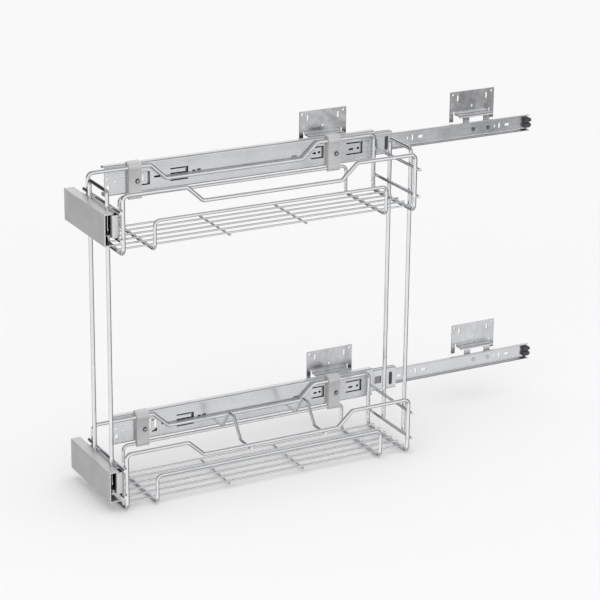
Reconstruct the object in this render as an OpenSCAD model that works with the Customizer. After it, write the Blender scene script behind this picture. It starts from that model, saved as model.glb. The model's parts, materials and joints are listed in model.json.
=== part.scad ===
// Two-tier pull-out basket for a narrow kitchen cabinet.
// Two wire baskets hang on a pair of telescopic ball runners that are
// fastened to the left cabinet wall, and carry the cabinet's door in front.
// Right of the wall is +X, the back of the cabinet is +Y, up is +Z.
// The origin is on the wall, midway between the two corner holes of the
// upper front bracket.  The unit stands as pulled out of the cabinet.

/* [Baskets] */
// Between the centre lines of a basket's front and rear posts
basket_length = 470; // [430:1:520]
// Between the centre lines of a basket's left and right rails
basket_width = 122; // [110:1:180]
// Bottom wire to top rail
rail_height = 85.6; // [80:0.1:102]
// Bottom wire to the lowered middle of the top rail
dip_height = 62.5; // [60:0.5:72]
// Front post to the first corner of the lowered middle
dip_start = 98; // [80:1:120]
// Length of the slope down to the lowered middle
dip_run = 25; // [20:1:40]
// Height of the upper basket above the lower one
tier_pitch = 388; // [300:1:450]

/* [Wires] */
// Main frame wire
frame_wire_d = 6; // [5:0.1:6.5]
// Guard wire and end wires
guard_wire_d = 5; // [4:0.1:5.3]
// Floor wires
floor_wire_d = 3; // [2.5:0.1:4]
// Upright hanger wire
hanger_wire_d = 6; // [5:0.1:7]
// Bottle divider wire
divider_wire_d = 4.5; // [3.5:0.1:5]
// How far crossing wires sink into one another at a spot weld
weld_sink = 0.3; // [0.1:0.05:0.5]
// Floor wires side by side
floor_wires = 6; // [5:1:7]
// Distance between floor wires
floor_pitch = 18.7; // [15:0.1:19]
// Height of the guard rail
guard_height = 43; // [37:0.5:50]
// Front post to the guard's leg, and the same at the rear
guard_inset = 48; // [35:1:70]

/* [Hangers] */
// Between the two legs of a hanger
hanger_width = 61; // [50:1:70]
// Height of the lower end wire
low_end_wire = 21.5; // [17:0.5:21.5]
// Height of the upper end wire
high_end_wire = 63; // [62:0.5:67]

/* [Runners] */
// Height of the outer runner member
runner_height = 45; // [45:0.5:46]
// Total thickness of the runner
runner_depth = 12.7; // [12.7:0.1:13.2]
// Length of the member on the wall
wall_rail_length = 450; // [440:1:480]
// Length of the middle member
middle_length = 425; // [410:1:430]
// Length of the member on the baskets
carrier_length = 445; // [435:1:450]
// How far the middle member stands out of the wall member
middle_out = 230; // [190:1:235]
// How far the basket member stands out of the middle member
carrier_out = 55; // [40:1:100]
// Height of a runner's centre line above its basket's bottom wire
runner_z = 68; // [66:0.5:69]
// Front post to the front end of the upper basket member
carrier_start = 27; // [20:1:35]
// The lower basket member sits this much further back
lower_carrier_setback = 7; // [0:1:10]
// The lower wall member sits this much further back again
lower_rail_lag = 11; // [5:1:15]
// Balls in the runners
ball_d = 3.5; // [3.4:0.05:3.5]

/* [Brackets] */
// Wall to the centre line of the left basket rails
wall_gap = 32; // [31:0.5:40]
// Width of a wall bracket
bracket_width = 80; // [78:1:90]
// Height of the wall plate above the rail's top edge
bracket_rise = 46; // [44:1:55]
// Thickness of the bracket plate
bracket_sheet = 1.5; // [1.2:0.1:2]
// Front end of the wall member to the front bracket's middle
front_bracket_y = 91; // [60:1:110]
// Between the front and rear brackets
bracket_pitch = 265; // [200:1:290]
// Length of a door bracket
door_bracket_length = 143; // [120:1:143]
// Height of a door bracket
door_bracket_height = 47; // [46:1:48]

/* [Hidden] */
$fn = 48;

// The rolled runner sections
sheet = 1.2;
race_gap = 0.3;
race_r = ball_d / 2 + race_gap + sheet / 2;
outer_ball = [9.1, runner_height / 2 - sheet / 2 - race_r];
ball_step = [-2.4, -sqrt(pow(2 * race_r, 2) - pow(2.4, 2))];
inner_ball = outer_ball + ball_step;
race_turn = atan2(-ball_step.y, -ball_step.x);
web_bend = 2;
middle_web = 2.9;
wall_rail_height = 2 * (inner_ball.y - race_r) + sheet;

// The ball cages
cage_sheet = 0.5;
cage_length = 150;
cage_pitch = 12;
cage_balls = 12;

// Where the runners stand along Y, from the front post of the baskets
carrier_back = carrier_start + carrier_length;
wall_rail_start = carrier_back + middle_out + carrier_out - wall_rail_length;
middle_inset = 3;
middle_start = wall_rail_start + middle_inset - middle_out;
cage_inner_y = wall_rail_start + (wall_rail_length - middle_out - cage_length) / 2;
cage_outer_y = middle_start + (middle_length - carrier_out - cage_length) / 2;

// Where the baskets stand
carrier_gap = 0.5;
carrier_x = -frame_wire_d / 2 - carrier_gap;
bracket_top = runner_z + wall_rail_height / 2 + bracket_rise;
corner_hole_drop = 5;
upper_basket_at = [wall_gap, -wall_rail_start - front_bracket_y, corner_hole_drop - bracket_top];
lower_basket_at = upper_basket_at - [0, 0, tier_pitch];

// A straight run goes this far into its bends, and is this much thinner,
// so that no two faces lie exactly on one another.
seat = 0.1;
slimmer = 0.04;

function unit(v) = v / norm(v);
function turn(a, b) = acos(max(-1, min(1, a * b)));

module axes_at(p, x, y, z)
    multmatrix([
        [x.x, y.x, z.x, p.x],
        [x.y, y.y, z.y, p.y],
        [x.z, y.z, z.z, p.z],
        [0, 0, 0, 1],
    ])
        children();

module straight_wire(p, q, d) {
    w = unit(q - p);
    u = unit(cross(w, abs(w.z) < 0.9 ? [0, 0, 1] : [1, 0, 0]));
    axes_at(p, u, cross(w, u), w)
        cylinder(h = norm(q - p), d = d);
}

module wire_bend(corner, a, b, r, d) {
    angle = turn(a, b);
    inward = unit(b - a * cos(angle));
    start = corner - a * r * tan(angle / 2);
    axes_at(start + inward * r, -inward, a, cross(-inward, a))
        rotate_extrude(angle = angle)
            translate([r, 0])
                circle(d = d);
}

// A wire bent to radius r at each corner of its path
module bent_wire(points, d, r, closed = false) {
    n = len(points);
    function at(i) = points[(i + n) % n];
    function way(i) = unit(at(i + 1) - at(i));
    function is_end(i) = !closed && (i % n == 0 || i == n - 1);
    function cut(i) = is_end(i) ? 0 : r * tan(turn(way(i - 1), way(i)) / 2) - seat;
    for (i = [0 : n - (closed ? 1 : 2)])
        straight_wire(at(i) + way(i) * cut(i), at(i + 1) - way(i) * cut(i + 1), d - slimmer);
    for (i = [0 : n - 1])
        if (!is_end(i))
            wire_bend(at(i), way(i - 1), way(i), r, d);
}

module upper() translate(upper_basket_at) children();
module lower() translate(lower_basket_at) children();

module basket_frame(r = 8) {
    l = basket_length;
    side = [
        [0, rail_height],
        [dip_start, rail_height],
        [dip_start + dip_run, dip_height],
        [l - dip_start - dip_run, dip_height],
        [l - dip_start, rail_height],
        [l, rail_height],
    ];
    right = [for (p = side) [basket_width, p.x, p.y]];
    left = [for (i = [len(side) - 1 : -1 : 0]) [0, side[i].x, side[i].y]];
    loop = concat([[basket_width, 0, 0]], right, [[basket_width, l, 0], [0, l, 0]], left, [[0, 0, 0]]);
    color("silver") bent_wire(loop, frame_wire_d, r, closed = true);
}

floor_z = frame_wire_d / 2 + floor_wire_d / 2 - weld_sink;
guard_low = floor_z - floor_wire_d / 2 - guard_wire_d / 2 + weld_sink;
module guard_loop(r = 8) {
    ends = [guard_inset, basket_length - guard_inset];
    loop = [
        [basket_width, ends[0], guard_low],
        [basket_width, ends[0], guard_height],
        [basket_width, ends[1], guard_height],
        [basket_width, ends[1], guard_low],
        [0, ends[1], guard_low],
        [0, ends[1], guard_height],
        [0, ends[0], guard_height],
        [0, ends[0], guard_low],
    ];
    color("silver") bent_wire(loop, guard_wire_d, r, closed = true);
}

floor_reach = frame_wire_d / 2;
first_floor_wire = (basket_width - (floor_wires - 1) * floor_pitch) / 2;
module floor_wires_set()
    color("silver")
        for (i = [0 : floor_wires - 1])
            translate([first_floor_wire + i * floor_pitch, -floor_reach, floor_z])
                rotate([-90, 0, 0])
                    cylinder(h = basket_length + 2 * floor_reach, d = floor_wire_d);

cross_overhang = 6;
module cross_wires_set()
    color("silver")
        for (y = basket_length * [0.364, 0.628])
            translate([first_floor_wire - floor_wire_d, y, floor_z - floor_wire_d + weld_sink])
                rotate([0, 90, 0])
                    cylinder(h = (floor_wires - 1) * floor_pitch + floor_wire_d + cross_overhang, d = floor_wire_d);

end_wire_y = frame_wire_d / 2 + guard_wire_d / 2 - weld_sink;
end_overhang = 6;
module end_wires_set()
    color("silver")
        for (y = [-end_wire_y, basket_length + end_wire_y], z = [low_end_wire, high_end_wire])
            translate([-frame_wire_d / 2, y, z])
                rotate([0, 90, 0])
                    cylinder(h = basket_width + frame_wire_d / 2 + end_overhang, d = guard_wire_d);

hanger_y = end_wire_y + guard_wire_d / 2 + hanger_wire_d / 2 - weld_sink;
hanger_foot = low_end_wire - 5;
module hanger(y) {
    left = (basket_width - hanger_width) / 2;
    top = tier_pitch + rail_height;
    path = [
        [left, y, hanger_foot],
        [left, y, top],
        [left + hanger_width, y, top],
        [left + hanger_width, y, hanger_foot],
    ];
    color("silver") bent_wire(path, hanger_wire_d, 7);
}

divider_z = dip_height - frame_wire_d / 2 - divider_wire_d / 2 + weld_sink;
divider_rise = 30.5;
divider_middle = 58;
divider_top = 14;
divider_foot = 60;
module bottle_divider(y) {
    path = [
        [-1.8, y, divider_z],
        [divider_middle - divider_foot / 2, y, divider_z],
        [divider_middle - divider_top / 2, y, divider_z + divider_rise],
        [divider_middle + divider_top / 2, y, divider_z + divider_rise],
        [divider_middle + divider_foot / 2, y, divider_z],
        [basket_width + 1.8, y, divider_z],
    ];
    bent_wire(path, divider_wire_d, 6);
}

module bottle_dividers_set()
    color("silver")
        for (y = basket_length * [0.426, 0.692]) bottle_divider(y);

// Rolled runner sections: x is the depth from the basket side, y the height.
module bar(p, q)
    polygon([p, [q.x, p.y], q, [p.x, q.y]]);

module arc_strip(centre, r, from, to, t = sheet) {
    reach = 4 * r;
    middle = (from + to) / 2;
    translate(centre)
        intersection() {
            difference() {
                circle(r + t / 2);
                circle(r - t / 2);
            }
            polygon([
                [0, 0],
                reach * [cos(from), sin(from)],
                reach * [cos(middle), sin(middle)],
                reach * [cos(to), sin(to)],
            ]);
        }
}

module both_edges() {
    children();
    mirror([0, 1]) children();
}

module carrier_section() {
    top = runner_height / 2;
    bar([0, -top + web_bend + sheet / 2], [sheet, top - web_bend - sheet / 2]);
    both_edges() {
        arc_strip([web_bend + sheet / 2, top - web_bend - sheet / 2], web_bend, 90, 180);
        bar([web_bend + sheet / 2, top - sheet], [outer_ball.x, top]);
        arc_strip(outer_ball, race_r, -20, 90);
    }
}

module middle_section() {
    top = inner_ball.y + race_r + sheet / 2;
    low = top - web_bend - sheet / 2;
    left = middle_web - sheet / 2;
    bar([left, -low], [left + sheet, low]);
    both_edges() {
        arc_strip([middle_web + web_bend, low], web_bend, 90, 180);
        bar([middle_web + web_bend, top - sheet], [inner_ball.x, top]);
        arc_strip(inner_ball, race_r, race_turn, 90);
        arc_strip(outer_ball, race_r, race_turn + 180, 320);
    }
}

module wall_rail_section() {
    top = wall_rail_height / 2;
    low = top - web_bend - sheet / 2;
    bend_x = runner_depth - sheet / 2 - web_bend;
    bar([runner_depth - sheet, -low], [runner_depth, low]);
    both_edges() {
        arc_strip([bend_x, low], web_bend, 0, 90);
        bar([inner_ball.x, top - sheet], [bend_x, top]);
        arc_strip(inner_ball, race_r, 235, 270);
    }
}

// Stands a section up along the runner, with its depth going to the wall
module along_runner(y, length)
    translate([carrier_x, y, runner_z])
        rotate([90, 0, 180])
            linear_extrude(length)
                children();

// A hole through a web: a round one, or a slot from one place to the next
module web_slot(y, z, length, height) {
    d = min(length, height);
    ends = [length - d, height - d] / 2;
    translate([carrier_x - runner_depth - 1, y + length / 2, z])
        rotate([90, 0, 90])
            linear_extrude(runner_depth + 2) {
                if (norm(ends) > 0) square(2 * ends + (length > height ? [0, d] : [d, 0]), center = true);
                for (s = [-1, 1]) translate(s * ends) circle(d = d);
            }
}

module web_window(y, z, length, height)
    translate([carrier_x - runner_depth - 1, y, z - height / 2])
        cube([runner_depth + 2, length, height]);

// A tongue cut free along its two long sides and its rear end
module lance(y, length, low, high, slit = 2, gap = 4.5) {
    web_window(y, high, length, slit);
    web_window(y, low, length, slit);
    web_window(y + length - gap, (low + high) / 2, gap, high - low + slit);
}

module carrier(back)
    color("gainsboro")
        difference() {
            along_runner(carrier_start + back, carrier_length) carrier_section();
            translate([0, back + carrier_start, 0]) {
                web_slot(3, runner_z + 3, 3.5, 3.5);
                web_slot(3, runner_z - 10, 5, 8);
                web_slot(15.5, runner_z - 2, 3, 3);
                lance(57, 14.5, runner_z - 11.5, runner_z + 6.5);
                web_window(59.5, runner_z - 1.5, 2.6, 9);
                web_slot(78, runner_z - 2, 11, 3);
                lance(104, 29, runner_z - 0.7, runner_z + 6.5);
                web_slot(107, runner_z - 4.5, 3, 3);
                web_slot(104, runner_z - 11, 29, 2);
                web_slot(139, runner_z - 0.5, 6, 2);
                web_slot(147, runner_z, 6.5, 2.4);
            }
            translate([0, back + carrier_back, 0]) {
                web_slot(-142, runner_z, 9, 2.4);
                lance(-109, 22, runner_z - 8, runner_z + 9);
                web_slot(-106, runner_z, 6, 3);
                web_slot(-97, runner_z + 0.5, 4, 4);
                lance(-48, 28, runner_z - 9, runner_z + 8);
                web_slot(-44, runner_z - 1.5, 8, 3);
                web_slot(-30, runner_z - 1, 4, 4);
            }
            translate([0, back, 0]) {
                for (y = clip_y) web_slot(y + clip_screw_y - clip_screw_d / 2, clip_screw_z, clip_screw_d, clip_screw_d);
            }
        }

module middle_rail(back)
    color("lightgray")
        difference() {
            along_runner(middle_start + back, middle_length) middle_section();
            translate([0, middle_start + middle_length + back, 0]) {
                web_window(4 - middle_length, runner_z - 1, 12, 14);
                for (z = [-14, 0, 14]) web_slot(-48, runner_z + z, 3.2, 3.2);
                web_window(-39, runner_z + 1, 12, 12);
                web_slot(-13, runner_z, 6, 22);
            }
        }

// The black buffer is moulded into the tall slot at the rear.
module middle_bumper(back)
    color("black")
        intersection() {
            translate([0, middle_start + middle_length + back, 0]) web_slot(-13, runner_z, 6, 22);
            translate([carrier_x - middle_web - sheet / 2, middle_start + middle_length + back - 20, 0])
                cube([sheet, 20, 2 * runner_z]);
        }

module wall_rail(back)
    color("lightgray")
        difference() {
            along_runner(wall_rail_start + back, wall_rail_length) wall_rail_section();
            translate([0, wall_rail_start + back, 0]) {
                web_slot(205, runner_z - 3, 9, 4);
                for (y = [230, 388]) {
                    web_slot(y, runner_z, 3.2, 5);
                    web_slot(y + 8.5, runner_z, 3.5, 9);
                    web_slot(y + 20, runner_z, 9, 4);
                }
                for (y = [12, 30]) web_slot(y, runner_z, 8, 4.5);
                for (y = [front_bracket_y, front_bracket_y + bracket_pitch], place = rivet_offsets)
                    web_slot(y + place - rivet_d / 2, runner_z, rivet_d, rivet_d);
            }
        }

// A soft stop with a round nose sits in the rear end of the wall member.
bumper_length = 12;
bumper_height = 16;
bumper_thickness = 6;
bumper_overhang = 4;
module wall_rail_bumper(back)
    color("dimgray")
        translate([
            carrier_x - runner_depth + sheet,
            wall_rail_start + wall_rail_length + bumper_overhang - bumper_length + back,
            runner_z,
        ])
            difference() {
                rotate([90, 0, 90])
                    linear_extrude(bumper_thickness) {
                        translate([0, -bumper_height / 2]) square([bumper_length - bumper_height / 4, bumper_height]);
                        for (s = [-1, 1])
                            translate([bumper_length - bumper_height / 4, s * bumper_height / 4])
                                circle(bumper_height / 4);
                    }
                translate([bumper_thickness - 2, -1, -1.5]) cube([3, bumper_length + 2, 3]);
            }

module cage(y, web, ball, length) {
    flange = ball.y;
    color("gray")
        difference() {
            translate([carrier_x, y, runner_z])
                rotate([90, 0, 180])
                    linear_extrude(length)
                        both_edges() {
                            bar([web, -1], [web + cage_sheet, flange + cage_sheet / 2]);
                            bar([web, flange - cage_sheet / 2], [ball.x + ball_d / 2 - 0.1, flange + cage_sheet / 2]);
                        }
            ball_places(y, ball) cylinder(h = 3, d = ball_d - 0.1, center = true);
        }
}

module ball_places(y, ball) {
    first = (cage_length - (cage_balls - 1) * cage_pitch) / 2;
    for (i = [0 : cage_balls - 1], side = [-1, 1])
        translate([carrier_x - ball.x, y + first + i * cage_pitch, runner_z + side * ball.y])
            children();
}

module balls(y, ball)
    color("white")
        ball_places(y, ball) sphere(d = ball_d);

outer_cage_web = sheet + race_gap;
inner_cage_web = middle_web + sheet / 2 + race_gap;
lower_back = lower_carrier_setback + lower_rail_lag;
lower_outer_back = lower_carrier_setback + lower_rail_lag / 2;

// A wall bracket: a plate on the wall with an ear at each end, a shelf bent
// out of it over the rail, and two necks down to the tongue that is riveted
// to the back of the wall member.
tongue_x = carrier_x - runner_depth;
shelf_drop = 36.5;
sheet_bend = 2;
neck_offset = 18.5;
neck_width = 11;
ear_width = 6.5;
slit_width = 2.5;
module bent_shelf_section() {
    t = bracket_sheet;
    wall_line = -wall_gap + t / 2;
    lip_line = tongue_x - t / 2;
    shelf_z = bracket_top - shelf_drop;
    translate([wall_line - t / 2, shelf_z + sheet_bend]) square([t, shelf_drop - sheet_bend]);
    arc_strip([wall_line + sheet_bend, shelf_z + sheet_bend], sheet_bend, 180, 270, t);
    translate([wall_line + sheet_bend, shelf_z - t / 2])
        square([lip_line - wall_line - 2 * sheet_bend, t]);
    arc_strip([lip_line - sheet_bend, shelf_z - sheet_bend], sheet_bend, 0, 90, t);
    translate([lip_line - t / 2, lip_low]) square([t, shelf_z - sheet_bend - lip_low]);
}

lip_low = runner_z + wall_rail_height / 2 + 7;
tongue_low = runner_z - 10;
tongue_high = runner_z + 8;
ear_low = runner_z + wall_rail_height / 2 - 2;
slit_high = bracket_top - 32;
module bracket(y) {
    half = bracket_width / 2;
    middle = half - ear_width - slit_width;
    color("darkgray")
        difference() {
            union() {
                translate([0, y + middle, 0])
                    rotate([90, 0, 0])
                        linear_extrude(2 * middle)
                            bent_shelf_section();
                translate([-wall_gap, y - half, slit_high])
                    cube([bracket_sheet, bracket_width, bracket_top - slit_high]);
                for (s = [-1, 1]) {
                    translate([-wall_gap, y + s * (half - ear_width / 2) - ear_width / 2, ear_low])
                        cube([bracket_sheet, ear_width, slit_high - ear_low + 2]);
                    translate([tongue_x - bracket_sheet, y + s * neck_offset - neck_width / 2, tongue_low])
                        cube([bracket_sheet, neck_width, lip_low - tongue_low]);
                }
                translate([tongue_x - bracket_sheet, y - neck_offset - neck_width / 2, tongue_low])
                    cube([bracket_sheet, 2 * neck_offset + neck_width, tongue_high - tongue_low]);
            }
            for (s = [-1, 1]) {
                wall_hole([y + s * corner_hole_span / 2, bracket_top - corner_hole_drop], corner_hole_d);
                translate([-wall_gap - 1, y + s * 26, bracket_top - 11])
                    rotate([0, 90, 0])
                        linear_extrude(4) {
                            square([6.5, 3.5], center = true);
                            for (e = [-1, 1]) translate([e * 3.25, 0]) circle(d = 3.5);
                        }
            }
            wall_hole([y, bracket_top - 25], 4);
            for (place = rivet_offsets) rivet_place(y + place) cylinder(h = 30, d = rivet_d, center = true);
        }
}

corner_hole_span = 70;
corner_hole_d = 4;
module wall_hole(at, d)
    translate([-wall_gap - 1, at.x, at.y])
        rotate([0, 90, 0])
            cylinder(h = 4, d = d);

rivet_d = 4;
rivet_head_d = 7;
rivet_offsets = [-6.5, 20.5];
module rivet_place(y)
    translate([tongue_x, y, runner_z])
        rotate([0, 90, 0])
            children();

module rivet(y)
    color("silver")
        rivet_place(y) {
            translate([0, 0, -bracket_sheet]) cylinder(h = bracket_sheet + sheet, d = rivet_d);
            translate([0, 0, sheet]) cylinder(h = 1, d = rivet_head_d);
            translate([0, 0, -bracket_sheet - 1]) cylinder(h = 1, d = rivet_head_d);
        }

front_y = wall_rail_start + front_bracket_y;
rear_y = front_y + bracket_pitch;

// A moulded clip holds the left rail and the left guard wire to the carrier.
clip_length = 20;
clip_wall = 2.6;
clip_y = [62.5, basket_length - 80.5];
clip_screw_d = 4;
clip_screw_y = 13.5;
clip_screw_z = runner_z - 3;
clip_face = 3.4;
module clip_section() {
    top = runner_z + runner_height / 2 + 0.1;
    difference() {
        union() {
            translate([carrier_x, guard_height]) square([clip_face - carrier_x, top + clip_wall - guard_height]);
            translate([carrier_x - 6, top]) square([6.01, clip_wall]);
            translate([0, guard_height]) circle(d = guard_wire_d + 2 * clip_wall);
            translate([0, rail_height]) circle(d = frame_wire_d + 2 * clip_wall);
        }
        translate([0, guard_height]) circle(d = guard_wire_d);
        translate([0, rail_height]) circle(d = frame_wire_d);
        translate([carrier_x - 5, 0]) square([5, top]);
    }
}

module clip(y)
    color("lightgray")
        difference() {
            translate([0, y + clip_length, 0])
                rotate([90, 0, 0])
                    linear_extrude(clip_length)
                        clip_section();
            translate([-10, y + clip_screw_y, clip_screw_z])
                rotate([0, 90, 0])
                    cylinder(h = 30, d = clip_screw_d);
        }

module clip_screw(y)
    color("silver")
        translate([carrier_x - sheet, y + clip_screw_y, clip_screw_z])
            rotate([0, 90, 0]) {
                cylinder(h = sheet - carrier_x + clip_face, d = clip_screw_d);
                translate([0, 0, sheet - carrier_x + clip_face])
                    difference() {
                        cylinder(h = 1.6, d = 7);
                        translate([0, 0, 0.8]) cylinder(h = 2, d = 3.4);
                    }
            }

// A door bracket: a channel whose face is screwed to the door.  The clamp
// behind it holds the hanger's legs, which pass through notches in the
// channel's flanges.
door_face = -24.5;
door_depth = 15;
door_sheet = 1.5;
door_low = 12;
door_right = 113;
lower_door_shift = 3;
module hanger_legs()
    for (s = [-1, 1])
        translate([basket_width / 2 + s * hanger_width / 2, -hanger_y, 0])
            children();

module door_bracket(shift) {
    notch = hanger_wire_d + 0.6;
    color("silver")
        difference() {
            translate([door_right - door_bracket_length + shift, door_face, door_low])
                rotate([90, 0, 90])
                    linear_extrude(door_bracket_length)
                        difference() {
                            square([door_depth, door_bracket_height]);
                            translate([door_sheet, door_sheet])
                                square([door_depth, door_bracket_height - 2 * door_sheet]);
                        }
            hanger_legs() {
                cylinder(h = 100, d = notch);
                translate([-notch / 2, 0, 0]) cube([notch, door_depth, 100]);
            }
        }
}

clamp_low = low_end_wire + guard_wire_d / 2 + 0.3;
clamp_height = 33;
clamp_back = -2;
clamp_front = door_face + door_sheet;
clamp_left = 5;
clamp_right = 117;
clamp_flange = 98;
clamp_bend = 3;
clamp_end_width = 12;
clamp_lip = 5;

// Seen from above, the clamp's back turns round its right end and in again.
module clamp_plan() {
    t = door_sheet;
    bend_x = clamp_right - t / 2 - clamp_bend;
    far = clamp_back - t / 2 - clamp_bend;
    near = clamp_back - clamp_end_width + t / 2 + clamp_bend;
    bar([clamp_left, clamp_back - t], [bend_x, clamp_back]);
    arc_strip([bend_x, far], clamp_bend, 0, 90, t);
    bar([clamp_right - t, near], [clamp_right, far]);
    arc_strip([bend_x, near], clamp_bend, -90, 0, t);
    bar([bend_x - clamp_lip, near - clamp_bend - t / 2], [bend_x, near - clamp_bend + t / 2]);
}

module door_clamp()
    color("silver")
        difference() {
            translate([0, 0, clamp_low]) {
                linear_extrude(clamp_height) clamp_plan();
                for (z = [0, clamp_height - door_sheet])
                    translate([clamp_left, clamp_front, z])
                        cube([clamp_flange, clamp_back - clamp_front, door_sheet]);
            }
            hanger_legs() cylinder(h = 100, d = hanger_wire_d - 0.1);
            clamp_screw_places() cylinder(h = 10, d = 5, center = true);
        }

clamp_screw_span = 34;
module clamp_screw_places()
    for (s = [-1, 1])
        translate([basket_width / 2 + s * clamp_screw_span / 2, clamp_back, clamp_low + clamp_height / 2])
            rotate([90, 0, 0])
                children();

module clamp_screws()
    color("silver")
        clamp_screw_places() {
            cylinder(h = clamp_back - clamp_front, d = 5);
            translate([0, 0, -2.5]) cylinder(h = 2.5, d = 9);
        }

upper() basket_frame();  // upper_basket_frame
lower() basket_frame();  // lower_basket_frame
upper() guard_loop();  // upper_guard_loop
lower() guard_loop();  // lower_guard_loop
upper() floor_wires_set();  // upper_floor_wires
lower() floor_wires_set();  // lower_floor_wires
upper() cross_wires_set();  // upper_cross_wires
lower() cross_wires_set();  // lower_cross_wires
upper() end_wires_set();  // upper_end_wires
lower() end_wires_set();  // lower_end_wires
lower() bottle_dividers_set();  // bottle_dividers
lower() hanger(-hanger_y);  // front_hanger
lower() hanger(basket_length + hanger_y);  // rear_hanger
upper() carrier(0);  // upper_carrier
lower() carrier(lower_carrier_setback);  // lower_carrier
upper() middle_rail(0);  // upper_middle_rail
lower() middle_rail(lower_back);  // lower_middle_rail
upper() wall_rail(0);  // upper_wall_rail
lower() wall_rail(lower_back);  // lower_wall_rail
upper() cage(cage_outer_y, outer_cage_web, outer_ball, cage_length);  // upper_outer_cage
lower() cage(cage_outer_y + lower_outer_back, outer_cage_web, outer_ball, cage_length);  // lower_outer_cage
upper() balls(cage_outer_y, outer_ball);  // upper_outer_balls
lower() balls(cage_outer_y + lower_outer_back, outer_ball);  // lower_outer_balls
upper() cage(cage_inner_y, inner_cage_web, inner_ball, cage_length);  // upper_inner_cage
lower() cage(cage_inner_y + lower_back, inner_cage_web, inner_ball, cage_length);  // lower_inner_cage
upper() balls(cage_inner_y, inner_ball);  // upper_inner_balls
lower() balls(cage_inner_y + lower_back, inner_ball);  // lower_inner_balls
union() {  // wall_rail_bumpers
    upper() wall_rail_bumper(0);
    lower() wall_rail_bumper(lower_back);
}
upper() middle_bumper(0);  // upper_middle_bumpers
lower() middle_bumper(lower_back);  // lower_middle_bumpers
upper() bracket(front_y);  // upper_front_bracket
upper() bracket(rear_y);  // upper_rear_bracket
lower() bracket(front_y + lower_back);  // lower_front_bracket
lower() bracket(rear_y + lower_back);  // lower_rear_bracket
for (y = [front_y, rear_y], s = rivet_offsets) {  // bracket_rivets
        upper() rivet(y + s);
        lower() rivet(y + s + lower_back);
    }
for (y = clip_y) {  // rail_clips
        upper() clip(y);
        lower() clip(y + lower_carrier_setback);
    }
for (y = clip_y) {  // clip_screws
        upper() clip_screw(y);
        lower() clip_screw(y + lower_carrier_setback);
    }
upper() door_bracket(0);  // upper_door_bracket
lower() door_bracket(lower_door_shift);  // lower_door_bracket
upper() door_clamp();  // upper_door_clamp
lower() door_clamp();  // lower_door_clamp
union() {  // door_clamp_screws
    upper() clamp_screws();
    lower() clamp_screws();
}
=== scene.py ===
# %% [markdown]
# # A pull-out cabinet basket
# Two chrome wire baskets, one above the other, roll out of a narrow kitchen
# cabinet on telescopic ball runners.  All but the clips and buffers is metal,
# so most of what the eye sees is reflection: this lesson is about giving each
# metal its own finish, and about a studio in which bright wire stays readable
# on white.
# The construction comes as a fixed frame.  It is loaded first, and its box is
# kept, because the dressed model may not outgrow it.

# %% Load the frame
import json
import math

import bmesh
import bpy
from mathutils import Matrix, Vector


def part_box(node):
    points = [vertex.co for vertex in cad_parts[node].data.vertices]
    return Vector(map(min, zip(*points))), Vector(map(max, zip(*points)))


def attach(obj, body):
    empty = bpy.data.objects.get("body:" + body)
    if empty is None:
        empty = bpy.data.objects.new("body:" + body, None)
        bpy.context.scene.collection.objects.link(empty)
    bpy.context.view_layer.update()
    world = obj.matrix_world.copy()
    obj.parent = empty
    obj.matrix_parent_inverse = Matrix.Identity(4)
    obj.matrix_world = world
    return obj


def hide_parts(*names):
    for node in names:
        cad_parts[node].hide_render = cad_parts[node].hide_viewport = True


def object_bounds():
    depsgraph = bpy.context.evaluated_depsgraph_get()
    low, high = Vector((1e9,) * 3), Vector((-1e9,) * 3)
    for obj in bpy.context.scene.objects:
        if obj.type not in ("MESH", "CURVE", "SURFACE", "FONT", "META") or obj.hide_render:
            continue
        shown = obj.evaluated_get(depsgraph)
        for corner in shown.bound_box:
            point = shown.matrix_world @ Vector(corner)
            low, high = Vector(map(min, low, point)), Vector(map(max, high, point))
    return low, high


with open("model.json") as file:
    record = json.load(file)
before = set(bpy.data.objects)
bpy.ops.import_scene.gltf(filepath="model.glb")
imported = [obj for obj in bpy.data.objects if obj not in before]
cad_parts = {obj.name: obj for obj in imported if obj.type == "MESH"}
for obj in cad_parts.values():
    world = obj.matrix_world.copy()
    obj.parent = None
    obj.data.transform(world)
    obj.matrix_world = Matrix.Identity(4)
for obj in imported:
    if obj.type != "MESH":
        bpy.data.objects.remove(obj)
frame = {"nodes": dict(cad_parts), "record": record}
cad_low, cad_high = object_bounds()
MM = 0.001
scene = bpy.context.scene
scene.view_settings.view_transform = "Standard"

# %% [markdown]
# The camera stands a good three metres away with a long lens, as a product
# photographer's does, so the baskets taper only a little towards the back.
# Its place and angles were worked out from corners in the picture: where the
# wires, runners and brackets meet, the same corners have to line up.
# Turning it as heading, tilt and roll keeps each angle readable.

# %% Camera
CAMERA_PLACE = (2.9417, -1.6255, 0.9000)
CAMERA_HEADING = 61.602
CAMERA_TILT = 70.335
CAMERA_ROLL = 0.663
PICTURE_SIDE = 600
FOCAL_PIXELS = 2302.7
SENSOR = 36.0

lens = bpy.data.cameras.new("camera")
lens.sensor_width = SENSOR
lens.lens = FOCAL_PIXELS * SENSOR / PICTURE_SIDE
lens.clip_end = 60
camera = bpy.data.objects.new("camera", lens)
scene.collection.objects.link(camera)
camera.matrix_world = (
    Matrix.Translation(CAMERA_PLACE)
    @ Matrix.Rotation(math.radians(CAMERA_HEADING), 4, "Z")
    @ Matrix.Rotation(math.radians(CAMERA_TILT), 4, "X")
    @ Matrix.Rotation(math.radians(CAMERA_ROLL), 4, "Z")
)
scene.camera = camera
print("camera: lens", round(lens.lens, 1), "mm")

# %% [markdown]
# Colours are written as the hex values a painter or a screen would use, and
# shaders count in linear light, so one function turns the first into the
# second.  Levels of light are linear already, so `grey` takes them as they
# are.  A third small function adds a node: what is a socket of another node
# gets linked, what is a plain value is set.

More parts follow.
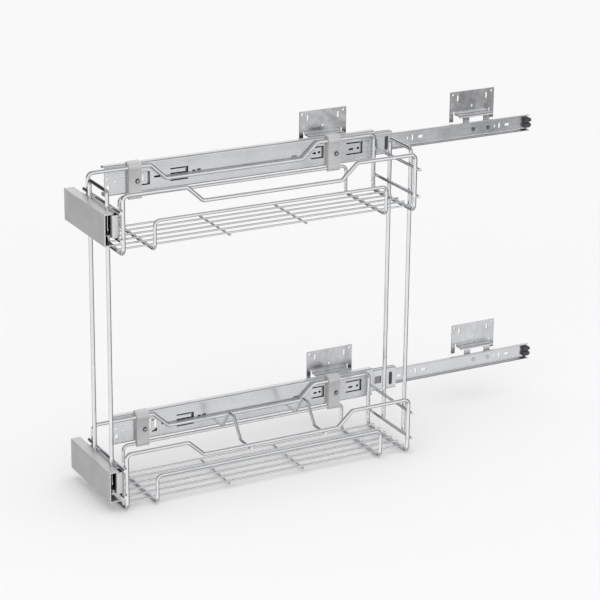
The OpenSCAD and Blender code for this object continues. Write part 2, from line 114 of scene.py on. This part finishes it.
# %% Three helpers for materials
def linear(hex_colour):
    parts = [int(hex_colour[i:i + 2], 16) / 255 for i in (1, 3, 5)]
    return [p / 12.92 if p <= 0.04045 else ((p + 0.055) / 1.055) ** 2.4 for p in parts] + [1.0]


def grey(level):
    return (level, level, level, 1.0)


def add_node(tree, kind, inputs=(), **settings):
    node = tree.nodes.new(kind)
    for name, value in settings.items():
        setattr(node, name, value)
    for socket, value in dict(inputs).items():
        if isinstance(value, bpy.types.NodeSocket):
            tree.links.new(value, node.inputs[socket])
        else:
            node.inputs[socket].default_value = value
    return node


print("a mid grey of #808080 is", round(linear("#808080")[0], 3), "in linear light")

# %% [markdown]
# A metal finish is three things: how dark and bright its reflections are, how
# far they blur, and the fine relief that breaks them.  All three come from
# one pattern here, because on a real sheet the same rolling lines or zinc
# crystals change colour, gloss and relief together.  The pattern is stretched
# with a Mapping node: a rolled or brushed surface has long thin marks, a
# plated one has round ones.  Over it lie soft clouds 30 mm wide.  A noise
# seldom leaves its middle values, so these are stretched to the full range.
# Sizes are in millimetres of the real surface.

# %% One builder for every metal
def new_material(name):
    material = bpy.data.materials.new(name)
    material.use_nodes = True
    tree = material.node_tree
    tree.nodes.clear()
    return material, tree


def grain(tree, size_mm, detail=3.0):
    place = add_node(tree, "ShaderNodeTexCoord")
    scale = [1 / (side * MM) for side in size_mm]
    spread = add_node(tree, "ShaderNodeMapping", {
        "Vector": place.outputs["Object"], "Scale": scale,
    })
    return add_node(tree, "ShaderNodeTexNoise", {
        "Vector": spread.outputs[0], "Scale": 1.0, "Detail": detail,
    })


CLOUDS = (30, 30, 30)
NOISE_LOW = 0.3
NOISE_HIGH = 0.7


def metal(name, dark, light, rough, marks_mm, relief_mm, relief_strength=0.3, metallic=1.0):
    material, tree = new_material(name)
    marks = grain(tree, marks_mm)
    clouds = grain(tree, CLOUDS, detail=2.0)
    both = add_node(tree, "ShaderNodeMath", {
        0: marks.outputs[0], 1: clouds.outputs[0],
    }, operation="ADD")
    half = add_node(tree, "ShaderNodeMath", {0: both.outputs[0], 1: 0.5}, operation="MULTIPLY")
    stretch = add_node(tree, "ShaderNodeMapRange", {
        "Value": half.outputs[0], "From Min": NOISE_LOW, "From Max": NOISE_HIGH,
    })
    tone = add_node(tree, "ShaderNodeMix", {
        0: stretch.outputs[0], 6: linear(dark), 7: linear(light),
    }, data_type="RGBA")
    gloss = add_node(tree, "ShaderNodeMapRange", {
        "Value": stretch.outputs[0], "To Min": rough[0], "To Max": rough[1],
    })
    bump = add_node(tree, "ShaderNodeBump", {
        "Strength": relief_strength, "Distance": relief_mm * MM, "Height": marks.outputs[0],
    })
    skin = add_node(tree, "ShaderNodeBsdfPrincipled", {
        "Base Color": tone.outputs[2], "Metallic": metallic,
        "Roughness": gloss.outputs[0], "Normal": bump.outputs[0],
    })
    add_node(tree, "ShaderNodeOutputMaterial", {"Surface": skin.outputs[0]})
    print("made", name)
    return material


# %% [markdown]
# **Chrome wire.**  Drawn steel wire, bent, spot welded and then plated with
# nickel and chrome.  The plating levels the drawing lines, so the eye sees
# crisp reflections with a very faint orange-peel waver.

# %% Chrome plated wire
chrome = metal(
    "chrome_plated_drawn_wire", "#E2E3E6", "#F0F1F3", rough=(0.04, 0.09),
    marks_mm=(2.5, 2.5, 2.5), relief_mm=0.04, relief_strength=0.12,
)

# %% [markdown]
# **Zinc plated runners.**  Cold-rolled strip, formed between rollers and
# electroplated.  The rolling direction is the length of the runner, so the
# marks are long in Y and less than a millimetre across.

# %% Zinc plated rolled steel
zinc = metal(
    "zinc_plated_rolled_steel", "#D2D3D5", "#E6E7E9", rough=(0.22, 0.32),
    marks_mm=(0.9, 45, 0.9), relief_mm=0.04,
)

# %% [markdown]
# ** Painted shade on the middle members.** Where a middle member runs inside
# the outer one it lies in deep shade, and that shade shows as black in the
# slots of the outer one.  Here the shade is painted into the colour as a dark
# film on the zinc.  An Ambient Occlusion node tells how closely a point is
# covered: covered points get the painted shade, open ones keep the bare zinc.
# It works in every position of the runner, because it is measured anew in
# each.  The painted shade lies only on the face that is turned to the outer
# member, along X: with `one_side`, every point whose normal looks elsewhere
# counts as unshaded.

# %% Painted shade where the metal is covered
TURNED_OUT = 0.7


# Painted shade: where Ambient Occlusion finds the metal covered, its colour and gloss are mixed
# towards a dark film.
def with_painted_shade(
    metal_below, name, shade_colour, shade_rough, reach_mm, covered, open_air, one_side=False,
):
    material = metal_below.copy()
    material.name = name
    tree = material.node_tree
    skin = next(node for node in tree.nodes if node.type == "BSDF_PRINCIPLED")
    cover = add_node(tree, "ShaderNodeAmbientOcclusion", {
        "Distance": reach_mm * MM,
    }, samples=8)
    unshaded = add_node(tree, "ShaderNodeMapRange", {
        "Value": cover.outputs["AO"], "From Min": covered, "From Max": open_air,
    })
    if one_side:
        place = add_node(tree, "ShaderNodeTexCoord")
        facing = add_node(tree, "ShaderNodeSeparateXYZ", {0: place.outputs["Normal"]})
        away = add_node(tree, "ShaderNodeMath", {
            0: facing.outputs[0], 1: TURNED_OUT,
        }, operation="LESS_THAN")
        unshaded = add_node(tree, "ShaderNodeMath", {
            0: unshaded.outputs[0], 1: away.outputs[0],
        }, operation="MAXIMUM")
    for socket, shade_value in (("Base Color", linear(shade_colour)), ("Roughness", grey(shade_rough))):
        bare = skin.inputs[socket].links[0].from_socket
        mix = add_node(tree, "ShaderNodeMix", {
            0: unshaded.outputs[0], 6: shade_value, 7: bare,
        }, data_type="RGBA")
        tree.links.new(mix.outputs[2], skin.inputs[socket])
    print("made", name)
    return material


# Painted shade on the middle members, where the outer member covers them.
zinc_painted_shade = with_painted_shade(
    zinc, "zinc_plated_steel_painted_shade", shade_colour="#0E0E0D", shade_rough=0.6, reach_mm=20,
    covered=0.5, open_air=0.8, one_side=True,
)

# %% [markdown]
# **Galvanised brackets.**  Hot-dip galvanised sheet is duller and greyer, and
# the zinc freezes in flat crystals some millimetres wide, the spangle.

# %% Galvanised sheet
galvanised = metal(
    "galvanised_bracket_sheet", "#C2C3C5", "#E0E1E3", rough=(0.17, 0.28),
    marks_mm=(9, 9, 9), relief_mm=0.03, relief_strength=0.15,
)

# %% [markdown]
# ** Silver door brackets.** The sheet is brushed along its length and then
# sprayed silver.  The brush leaves lines about half a millimetre apart.  The
# lacquer is metal flakes in a clear binder, so part of the light comes back
# evenly, as from paint, and part as from metal.  Inside the channel and close
# to the parts fixed to it, where shade falls, the same painted shade as on the
# middle members darkens the colour.

# %% Brushed and silver lacquered steel
satin = metal(
    "silver_lacquered_brushed_steel", "#D6D6D7", "#E0E0E1", rough=(0.34, 0.46),
    marks_mm=(60, 0.6, 0.6), relief_mm=0.03, metallic=0.6,
)
# Painted shade inside the door brackets' channel and next to the parts close to it.
satin = with_painted_shade(
    satin, "silver_lacquer_painted_shade_inside", shade_colour="#232324", shade_rough=0.5, reach_mm=30,
    covered=0.25, open_air=0.5,
)

# %% [markdown]
# ** Small parts.** Ball cages are bare pressed strip, balls and rivets are
# bright steel.  A screw's head is bright steel on top; its shoulder, rim and
# shank are painted black, a painted shade for the shadow in the gap round the
# head.

# %% Cage strip and bright steel
cage_strip = metal(
    "pressed_cage_strip", "#8A8A8C", "#A2A2A4", rough=(0.3, 0.42),
    marks_mm=(1.5, 12, 1.5), relief_mm=0.03,
)
bright = metal(
    "bright_turned_steel", "#B4B5B8", "#D0D1D4", rough=(0.12, 0.22),
    marks_mm=(1.2, 1.2, 1.2), relief_mm=0.02,
)
# Painted shade: the black rim of a screw head stands in for the shadow in the gap round it.
painted_shade_rim = metal(
    "black_screw_rim_painted_shade", "#1E1E1F", "#333334", rough=(0.25, 0.4),
    marks_mm=(1.2, 1.2, 1.2), relief_mm=0.02,
)

# %% [markdown]
# **Moulded parts.**  Plastic and rubber are not metals: their colour comes
# from below a clear skin.  The mould leaves a stipple, drawn 0.8 mm wide here
# so that it shows, and the flow of the melt leaves broad soft clouds.

# %% Moulded plastic and rubber
STIPPLE = (0.8, 0.8, 0.8)
FLOW_MARKS = (25, 25, 25)


def moulded(name, dark, light, rough, relief_mm, index):
    material, tree = new_material(name)
    stipple = grain(tree, STIPPLE, detail=2.0)
    clouds = grain(tree, FLOW_MARKS, detail=1.0)
    tone = add_node(tree, "ShaderNodeMix", {
        0: clouds.outputs[0], 6: linear(dark), 7: linear(light),
    }, data_type="RGBA")
    gloss = add_node(tree, "ShaderNodeMapRange", {
        "Value": clouds.outputs[0], "To Min": rough[0], "To Max": rough[1],
    })
    bump = add_node(tree, "ShaderNodeBump", {
        "Strength": 0.3, "Distance": relief_mm * MM, "Height": stipple.outputs[0],
    })
    skin = add_node(tree, "ShaderNodeBsdfPrincipled", {
        "Base Color": tone.outputs[2], "IOR": index,
        "Roughness": gloss.outputs[0], "Normal": bump.outputs[0],
    })
    add_node(tree, "ShaderNodeOutputMaterial", {"Surface": skin.outputs[0]})
    print("made", name)
    return material


clip_plastic = moulded(
    "grey_moulded_nylon", "#C2C2C3", "#CFCFD0", rough=(0.35, 0.5), relief_mm=0.05, index=1.53,
)
buffer_rubber = moulded(
    "dark_grey_buffer_rubber", "#3C3C3E", "#4C4C4E", rough=(0.5, 0.65), relief_mm=0.06, index=1.52,
)

# %% [markdown]
# The record that came with the frame says what each part is made of, by slot,
# so the finishes are handed out from it in one loop.  The middle members come
# after it, because their slot says zinc and not that they get painted shade.

# %% Hand out the finishes
FINISHES = {
    "chrome_wire": chrome,
    "runner_zinc": zinc,
    "galvanised": galvanised,
    "satin_plate": satin,
    "cage_steel": cage_strip,
    "bright_steel": bright,
    "grey_plastic": clip_plastic,
    "black_rubber": buffer_rubber,
}
for part in frame["record"]["subparts"]:
    mesh = frame["nodes"][part["node"]].data
    mesh.materials.clear()
    mesh.materials.append(FINISHES[part["material_slot"]])
# The middle members get the zinc with painted shade.
for node in ("upper_middle_rail", "lower_middle_rail"):
    frame["nodes"][node].data.materials[0] = zinc_painted_shade

# %% [markdown]
# Next come the small things a plain construction leaves out.  They are placed
# in each basket's own millimetres, counted from the centre line of its front
# left bottom corner, so `basket_corner` turns a node's box into that corner.
# The spacings are those of the wires in the construction.  Each crossing keeps
# the axis along which the two wires press on one another: floor wires and
# dividers lie above or below a wire, end wires and hanger legs beyond one.

# %% Where the wires cross
FRAME_WIRE = 6.0
END_WIRE = 5.0
WELD_SINK = 0.3
BASKET_LENGTH = 470.0
BASKET_WIDTH = 122.0
FLOOR_WIRES = 6
FLOOR_PITCH = 18.7
FLOOR_STATIONS = (0.0, 48.0, 171.1, 295.2, 422.0, BASKET_LENGTH)
END_WIRE_HEIGHTS = (21.5, 63.0)
HANGER_LEGS = (30.5, 91.5)
DIVIDER_STATIONS = (200.2, 325.2)
DIP_HEIGHT = 62.5
AT_FRAME = (FRAME_WIRE - WELD_SINK) / 2
BEHIND_END_WIRE = FRAME_WIRE / 2 + END_WIRE - 1.5 * WELD_SINK


def basket_corner(level):
    return Vector(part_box(level + "_basket_frame")[0]) + Vector([FRAME_WIRE / 2 * MM] * 3)


first_floor_wire = (BASKET_WIDTH - (FLOOR_WIRES - 1) * FLOOR_PITCH) / 2
floor_xs = [first_floor_wire + i * FLOOR_PITCH for i in range(FLOOR_WIRES)]
rail_xs = (0.0, BASKET_WIDTH)
welds = []
for level in ("upper", "lower"):
    corner = basket_corner(level)
    spots = [((x, y, AT_FRAME), "Z") for x in floor_xs for y in FLOOR_STATIONS]
    for end, side in ((0.0, -1), (BASKET_LENGTH, 1)):
        for z in END_WIRE_HEIGHTS:
            spots += [((x, end + side * AT_FRAME, z), "Y") for x in rail_xs]
            spots += [((x, end + side * BEHIND_END_WIRE, z), "Y") for x in HANGER_LEGS]
    if level == "lower":
        rim = DIP_HEIGHT - AT_FRAME
        spots += [((x, y, rim), "Z") for x in rail_xs for y in DIVIDER_STATIONS]
    welds += [(corner + Vector(spot) * MM, axis) for spot, axis in spots]
print("wire crossings:", len(welds))

# %% [markdown]
# **Spot welds.**  Where two wires cross they are squeezed hot until they sink
# into one another, and a little metal bulges out round the joint.  Each bulge
# is a flattened bead, 4 mm across and half as high, and none is quite round:
# two waves that run along the list of welds stretch it by up to a tenth.

# %% Weld beads
SMOOTH_BELOW = 35


def build_piece(name, shape, material, body):
    bmesh.ops.recalc_face_normals(shape, faces=shape.faces[:])
    mesh = bpy.data.meshes.new(name)
    shape.to_mesh(mesh)
    shape.free()
    mesh.shade_smooth()
    mesh.set_sharp_from_angle(angle=math.radians(SMOOTH_BELOW))
    mesh.materials.append(material)
    piece = bpy.data.objects.new(name, mesh)
    scene.collection.objects.link(piece)
    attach(piece, body)
    return piece


BEAD_RADIUS = 2.1
BEAD_HEIGHT = 1.1
LUMP = 0.1
WAVES = (2.4, 3.7)
shape = bmesh.new()
for number, (place, axis) in enumerate(welds):
    flat = Matrix.Diagonal((BEAD_RADIUS, BEAD_RADIUS, BEAD_HEIGHT, 1)) @ Matrix.Scale(MM, 4)
    stand = Matrix.Rotation(math.pi / 2, 4, "X") if axis == "Y" else Matrix.Identity(4)
    wide = 1 + LUMP * math.sin(number * WAVES[0])
    deep = 1 + LUMP * math.cos(number * WAVES[1])
    lumpy = Matrix.Diagonal((wide, deep, 1, 1))
    bmesh.ops.create_icosphere(
        shape, subdivisions=3, radius=1.0, matrix=Matrix.Translation(place) @ stand @ lumpy @ flat,
    )
build_piece("weld_beads", shape, chrome, "baskets")
print("weld beads:", len(welds))

# %% [markdown]
# **Pan head screws.**  A screw is a turned shape, so half of its outline, from
# the flat top over the round shoulder and the straight rim to the shank's tip,
# is spun once round the axis.  The cross recess has to be part of the top: the
# plus-shaped outline and the round one are filled together as one face with a
# hole, and the plus is bridged to a smaller one at the recess's floor.  The
# outline is in shares of the head's radius and height, and the recess's reach
# and half its arm's width are in shares of the head.

# %% Screws
PAN_OUTLINE = [(0.66, 1.0), (0.8, 0.94), (0.92, 0.76), (0.99, 0.45), (1.0, 0.3), (1.0, 0.0)]
RECESS_MOUTH = (0.27, 0.07)
RECESS_FLOOR = (0.17, 0.04)
RECESS_LEVEL = 0.35
STEPS_ROUND = 32
TOP, RIM = 0, 1


def string(shape, points):
    corners = [shape.verts.new(point) for point in points]
    return corners, [shape.edges.new(pair) for pair in zip(corners, corners[1:])]


def plus(shape, reach, arm, height):
    quarter = [(reach, -arm), (reach, arm), (arm, arm)]
    half = quarter + [(-y, x) for x, y in quarter]
    corners, edges = string(shape, [(n * x, n * y, height) for n in (1, -1) for x, y in half])
    return edges + [shape.edges.new((corners[-1], corners[0]))]


def pan_screw(shape, to_place, head, height, shank, reach):
    made = bmesh.new()
    outline = [(head / 2 * r, 0, height * h) for r, h in PAN_OUTLINE]
    corners, edges = string(made, outline + [(shank / 2, 0, 0), (shank / 2, 0, -reach)])
    bmesh.ops.spin(
        made, geom=corners + edges, cent=(0, 0, 0), axis=(0, 0, 1), angle=2 * math.pi,
        steps=STEPS_ROUND, use_merge=True,
    )
    for face in made.faces:
        face.material_index = RIM
    open_edges = [edge for edge in made.edges if edge.is_boundary]
    top = [edge for edge in open_edges if edge.verts[0].co.z > 0]
    tip = [edge for edge in open_edges if edge.verts[0].co.z < 0]
    mouth = plus(made, head * RECESS_MOUTH[0], head * RECESS_MOUTH[1], height)
    base = plus(made, head * RECESS_FLOOR[0], head * RECESS_FLOOR[1], height * RECESS_LEVEL)
    bmesh.ops.triangle_fill(made, edges=top + mouth, use_beauty=True)
    bmesh.ops.bridge_loops(made, edges=mouth + base)
    bmesh.ops.edgeloop_fill(made, edges=base, mat_nr=TOP)
    bmesh.ops.edgeloop_fill(made, edges=tip, mat_nr=TOP)
    bmesh.ops.scale(made, vec=(MM, MM, MM), verts=made.verts)
    bmesh.ops.transform(made, matrix=to_place, verts=made.verts)
    loose = bpy.data.meshes.new("screw")
    made.to_mesh(loose)
    made.free()
    shape.from_mesh(loose)
    bpy.data.meshes.remove(loose)


# %% [markdown]
# The screws sit on the clips, which face X, and in the door clamps, which face
# Y.  The lower carrier stands 7 mm further back than the upper one, and its
# clips with it.  The first finish is the bright steel of the top and recess,
# the second the black painted shade of the rim and shank.

# %% Set the screws
CLIP_SCREW = {"head": 7.0, "height": 1.6, "shank": 4.0, "reach": 7.8}
CLIP_FACE = 3.4
CLIP_SCREWS = ((76.0, 65.0), (403.0, 65.0))
CLIP_SETBACK = {"upper": 0.0, "lower": 7.0}
CLAMP_SCREW = {"head": 9.0, "height": 2.5, "shank": 5.0, "reach": 20.4}
CLAMP_BACK = -2.0
CLAMP_SCREWS = ((44.0, 40.8), (78.0, 40.8))
clip_shape = bmesh.new()
clamp_shape = bmesh.new()
facing_x = Matrix.Rotation(math.pi / 2, 4, "Y")
facing_y = Matrix.Rotation(-math.pi / 2, 4, "X")
for level in ("upper", "lower"):
    corner = basket_corner(level)
    for y, z in CLIP_SCREWS:
        seat = Matrix.Translation(corner + Vector((CLIP_FACE, y + CLIP_SETBACK[level], z)) * MM)
        pan_screw(clip_shape, seat @ facing_x, **CLIP_SCREW)
    for x, z in CLAMP_SCREWS:
        seat = Matrix.Translation(corner + Vector((x, CLAMP_BACK, z)) * MM)
        pan_screw(clamp_shape, seat @ facing_y, **CLAMP_SCREW)
for name, shape, node in (
    ("clip_pan_screws", clip_shape, "clip_screws"),
    ("clamp_pan_screws", clamp_shape, "door_clamp_screws"),
):
    screws = build_piece(name, shape, bright, "baskets")
    # The second finish, the black rim, is painted shade.
    screws.data.materials.append(painted_shade_rim)
    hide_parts(node)
print("screws:", 2 * len(CLIP_SCREWS), "on the clips,", 2 * len(CLAMP_SCREWS), "in the clamps")

# %% [markdown]
# **Moulded clips.**  A mould has no sharp edges, so the clips are a copy of
# the construction's, with every edge rounded by most of a millimetre.  The
# rounding is what catches the light along a clip's rim.  The copy arrives as
# loose triangles: its doubles are merged and its flat faces made whole first,
# so that the bevel meets only the true edges.

# %% Clips with rounded edges
MERGE_WITHIN = 0.001
FLAT_WITHIN = math.radians(0.5)
SHARP_ABOVE = math.radians(50)


def rounded_copy(node, name, radius_mm, segments, material, body):
    shape = bmesh.new()
    shape.from_mesh(frame["nodes"][node].data)
    bmesh.ops.remove_doubles(shape, verts=shape.verts, dist=MERGE_WITHIN * MM)
    bmesh.ops.dissolve_limit(
        shape, angle_limit=FLAT_WITHIN, use_dissolve_boundaries=False,
        verts=shape.verts[:], edges=shape.edges[:],
    )
    sharp = [
        edge for edge in shape.edges
        if len(edge.link_faces) == 2 and edge.calc_face_angle() > SHARP_ABOVE
    ]
    bmesh.ops.bevel(
        shape, geom=sharp, offset=radius_mm * MM, affect="EDGES", segments=segments,
        profile=0.5, clamp_overlap=True, material=-1,
    )
    piece = build_piece(name, shape, material, body)
    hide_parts(node)
    return len(sharp)


edges = rounded_copy(
    "rail_clips", "rounded_rail_clips", radius_mm=0.8, segments=3, material=clip_plastic,
    body="baskets",
)
print("rounded edges:", edges)

# %% [markdown]
# The floor is a wide pale sheet just under the lowest wire.  It takes the
# shadow, which is all that tells the eye where the unit stands.  Further out
# it fades to an even white, as a studio sweep does, but only for the camera,
# so the light that it gives back stays that of paper.  Mirrored rays pass it
# by: what the chrome mirrors from below comes from the room.

# %% Floor
FLOOR_BELOW = 0.5
FLOOR_RADIUS = 14
FLOOR_SIDES = 96
FLOOR_MIDDLE = (0.09, -0.1, 0.0)
NEAR_FLOOR = 0.5
FAR_FLOOR = 1.6
WHITE = 0.945
floor_z = cad_low[2] - FLOOR_BELOW * MM


def set_out(name, shape, material):
    mesh = bpy.data.meshes.new(name)
    shape.to_mesh(mesh)
    shape.free()
    mesh.materials.append(material)
    thing = bpy.data.objects.new(name, mesh)
    scene.collection.objects.link(thing)
    return thing


paper, tree = new_material("matt_studio_paper")
fibre = grain(tree, (3, 3, 3))
tone = add_node(tree, "ShaderNodeMix", {
    0: fibre.outputs[0], 6: linear("#F3F3F3"), 7: linear("#F8F8F8"),
}, data_type="RGBA")
skin = add_node(tree, "ShaderNodeBsdfPrincipled", {
    "Base Color": tone.outputs[2], "Roughness": 0.9, "Specular IOR Level": 0.1,
})
spot = add_node(tree, "ShaderNodeTexCoord")
reach = add_node(tree, "ShaderNodeVectorMath", {
    0: spot.outputs["Object"], 1: FLOOR_MIDDLE,
}, operation="DISTANCE")
far = add_node(tree, "ShaderNodeMapRange", {
    "Value": reach.outputs["Value"], "From Min": NEAR_FLOOR, "From Max": FAR_FLOOR,
}, interpolation_type="SMOOTHSTEP")
path = add_node(tree, "ShaderNodeLightPath")
seen_far = add_node(tree, "ShaderNodeMath", {
    0: path.outputs["Is Camera Ray"], 1: far.outputs[0],
}, operation="MULTIPLY")
glow = add_node(tree, "ShaderNodeEmission", {"Color": grey(WHITE), "Strength": 1.0})
both = add_node(tree, "ShaderNodeMixShader", {
    0: seen_far.outputs[0], 1: skin.outputs[0], 2: glow.outputs[0],
})
add_node(tree, "ShaderNodeOutputMaterial", {"Surface": both.outputs[0]})

shape = bmesh.new()
bmesh.ops.create_circle(shape, cap_ends=True, segments=FLOOR_SIDES, radius=FLOOR_RADIUS)
bmesh.ops.translate(shape, vec=(0, 0, floor_z), verts=shape.verts)
floor = set_out("floor", shape, paper)
floor.visible_glossy = False
floor.visible_transmission = False
print("floor at", round(floor_z / MM, 1), "mm")

# %% [markdown]
# A photographer lays a black card on the table, outside the picture, where a
# flat metal face would otherwise mirror nothing but white.  This one darkens
# the far ends of the upper runner and its brackets.  Only mirrored rays see
# the card: it throws no shadow and the camera never meets it.  Its felt is
# written as a grey, because a full black would swallow the runner's end.

# %% Black card
CARD_MIDDLE = (1.5, 1.25)
CARD_SIZE = (1.1, 0.7)
CARD_CORNER = 0.1
felt, tree = new_material("black_felt")
skin = add_node(tree, "ShaderNodeBsdfPrincipled", {
    "Base Color": linear("#686868"), "Roughness": 0.9,
})
add_node(tree, "ShaderNodeOutputMaterial", {"Surface": skin.outputs[0]})

shape = bmesh.new()
bmesh.ops.create_grid(shape, x_segments=1, y_segments=1, size=0.5)
bmesh.ops.scale(shape, vec=(*CARD_SIZE, 1), verts=shape.verts)
bmesh.ops.translate(shape, vec=(*CARD_MIDDLE, floor_z + MM), verts=shape.verts)
bmesh.ops.bevel(
    shape, geom=shape.verts[:], offset=CARD_CORNER, affect="VERTICES", segments=6,
    profile=0.5, material=-1,
)
card = set_out("black_card", shape, felt)
for kind in ("camera", "diffuse", "transmission", "shadow"):
    setattr(card, "visible_" + kind, False)
print("card:", CARD_SIZE[0], "x", CARD_SIZE[1], "m")

# %% [markdown]
# Chrome on white needs something dark to mirror, or its edges vanish.  The
# room is therefore striped for mirrored rays, as with dark panels set up all
# round: one row of panels stands below the horizon, another above it, and the
# two rows meet softly.  Straight down and straight up it is a middle grey.
# The panels belong to the room, so they stay put when the camera moves.  The
# camera itself sees plain white, and matt surfaces get an even light.

# %% What stands round the set
CAMERA_SIDE = math.radians(-28.4)
BELOW = [
    (0.0, 0.4), (0.03, 0.2), (0.06, 0.06), (0.165, 0.06), (0.19, 0.95), (0.30, 0.95),
    (0.60, 0.95), (0.69, 0.95), (0.73, 0.18), (0.95, 0.15), (0.98, 0.4), (1.0, 0.4),
]
ABOVE = [
    (0.0, 1.0), (0.03, 0.9), (0.05, 0.04), (0.24, 0.04), (0.42, 0.8),
    (0.70, 1.0), (0.76, 0.15), (0.93, 0.15), (0.96, 0.9), (1.0, 1.0),
]
STRAIGHT_DOWN = 0.45
STRAIGHT_UP = 0.4
HORIZON = (-0.1, 0.1)
FEET = (-0.72, -0.45)
CEILING = (0.5, 0.72)
EVEN_LIGHT = 0.93
SEEN_WHITE = 0.96

# %% [markdown]
# Each row is a colour ramp that runs once round the room.  Its stops are
# pairs: how far round, from 0 to 1, and how bright.  The way round is the
# angle of a ray's direction, and the direction is turned first, so that the
# middle of the ramps lies on the side where the camera was set up.

# %% Room
world = bpy.data.worlds.new("studio")
scene.world = world
world.use_nodes = True
tree = world.node_tree
tree.nodes.clear()


def levels(source, stops):
    bands = add_node(tree, "ShaderNodeValToRGB", {0: source})
    while len(bands.color_ramp.elements) < len(stops):
        bands.color_ramp.elements.new(0.5)
    for stop, (place, level) in zip(bands.color_ramp.elements, stops):
        stop.position = place
        stop.color = grey(level)
    return bands.outputs[0]


def blend_upwards(heights, lower, upper):
    step = add_node(tree, "ShaderNodeMapRange", {
        "Value": part.outputs[2], "From Min": heights[0], "From Max": heights[1],
    }, interpolation_type="SMOOTHSTEP")
    return add_node(tree, "ShaderNodeMix", {
        0: step.outputs[0], 6: lower, 7: upper,
    }, data_type="RGBA").outputs[2]


way = add_node(tree, "ShaderNodeTexCoord")
turned = add_node(tree, "ShaderNodeVectorRotate", {
    "Vector": way.outputs["Generated"], "Angle": -CAMERA_SIDE,
}, rotation_type="Z_AXIS")
part = add_node(tree, "ShaderNodeSeparateXYZ", {0: turned.outputs[0]})
around = add_node(tree, "ShaderNodeMath", {
    0: part.outputs[1], 1: part.outputs[0],
}, operation="ARCTAN2")
turn = add_node(tree, "ShaderNodeMapRange", {
    "Value": around.outputs[0], "From Min": -math.pi, "From Max": math.pi,
})
below, above = [levels(turn.outputs[0], row) for row in (BELOW, ABOVE)]
sides = blend_upwards(HORIZON, below, above)
raised = blend_upwards(FEET, grey(STRAIGHT_DOWN), sides)
around_all = blend_upwards(CEILING, raised, grey(STRAIGHT_UP))
path = add_node(tree, "ShaderNodeLightPath")
mirrored = add_node(tree, "ShaderNodeMath", {
    0: path.outputs["Is Glossy Ray"], 1: path.outputs["Is Transmission Ray"],
}, operation="MAXIMUM")
even = add_node(tree, "ShaderNodeMix", {
    0: mirrored.outputs[0], 6: grey(EVEN_LIGHT), 7: around_all,
}, data_type="RGBA")
seen = add_node(tree, "ShaderNodeMix", {
    0: path.outputs["Is Camera Ray"], 6: even.outputs[2], 7: grey(SEEN_WHITE),
}, data_type="RGBA")
air = add_node(tree, "ShaderNodeBackground", {"Color": seen.outputs[2], "Strength": 1.0})
add_node(tree, "ShaderNodeOutputWorld", {"Surface": air.outputs[0]})
print("room:", len(tree.nodes), "nodes")

# %% [markdown]
# Two soft boxes do the rest: a large one overhead for the soft shadow under
# the unit, and a weaker one from the camera's left.  Neither shows in the
# mirrored room, where it would burn out the chrome.

# %% Soft boxes
SOFT_BOXES = [
    {"name": "overhead_box", "place": (0.3, 0.1, 2.2), "side": 1.6, "power": 9},
    {"name": "side_box", "place": (1.6, -2.4, 1.2), "side": 1.2, "power": 5},
]
middle = (Vector(cad_low) + Vector(cad_high)) / 2


def soft_box(name, place, side, power):
    lamp = bpy.data.lights.new(name, "AREA")
    lamp.shape = "SQUARE"
    lamp.size = side
    lamp.energy = power
    box = bpy.data.objects.new(name, lamp)
    scene.collection.objects.link(box)
    box.visible_glossy = False
    box.location = place
    box.rotation_euler = (middle - Vector(place)).to_track_quat("-Z", "Y").to_euler()
    print(name, power, "W")


for settings in SOFT_BOXES:
    soft_box(**settings)

# %% [markdown]
# Last, the size of the built box is printed. The built one, and the
# dressed one, which may not be bigger.

# %% Measure and finish
print("built", [round(b - a, 4) for a, b in zip(cad_low, cad_high)])
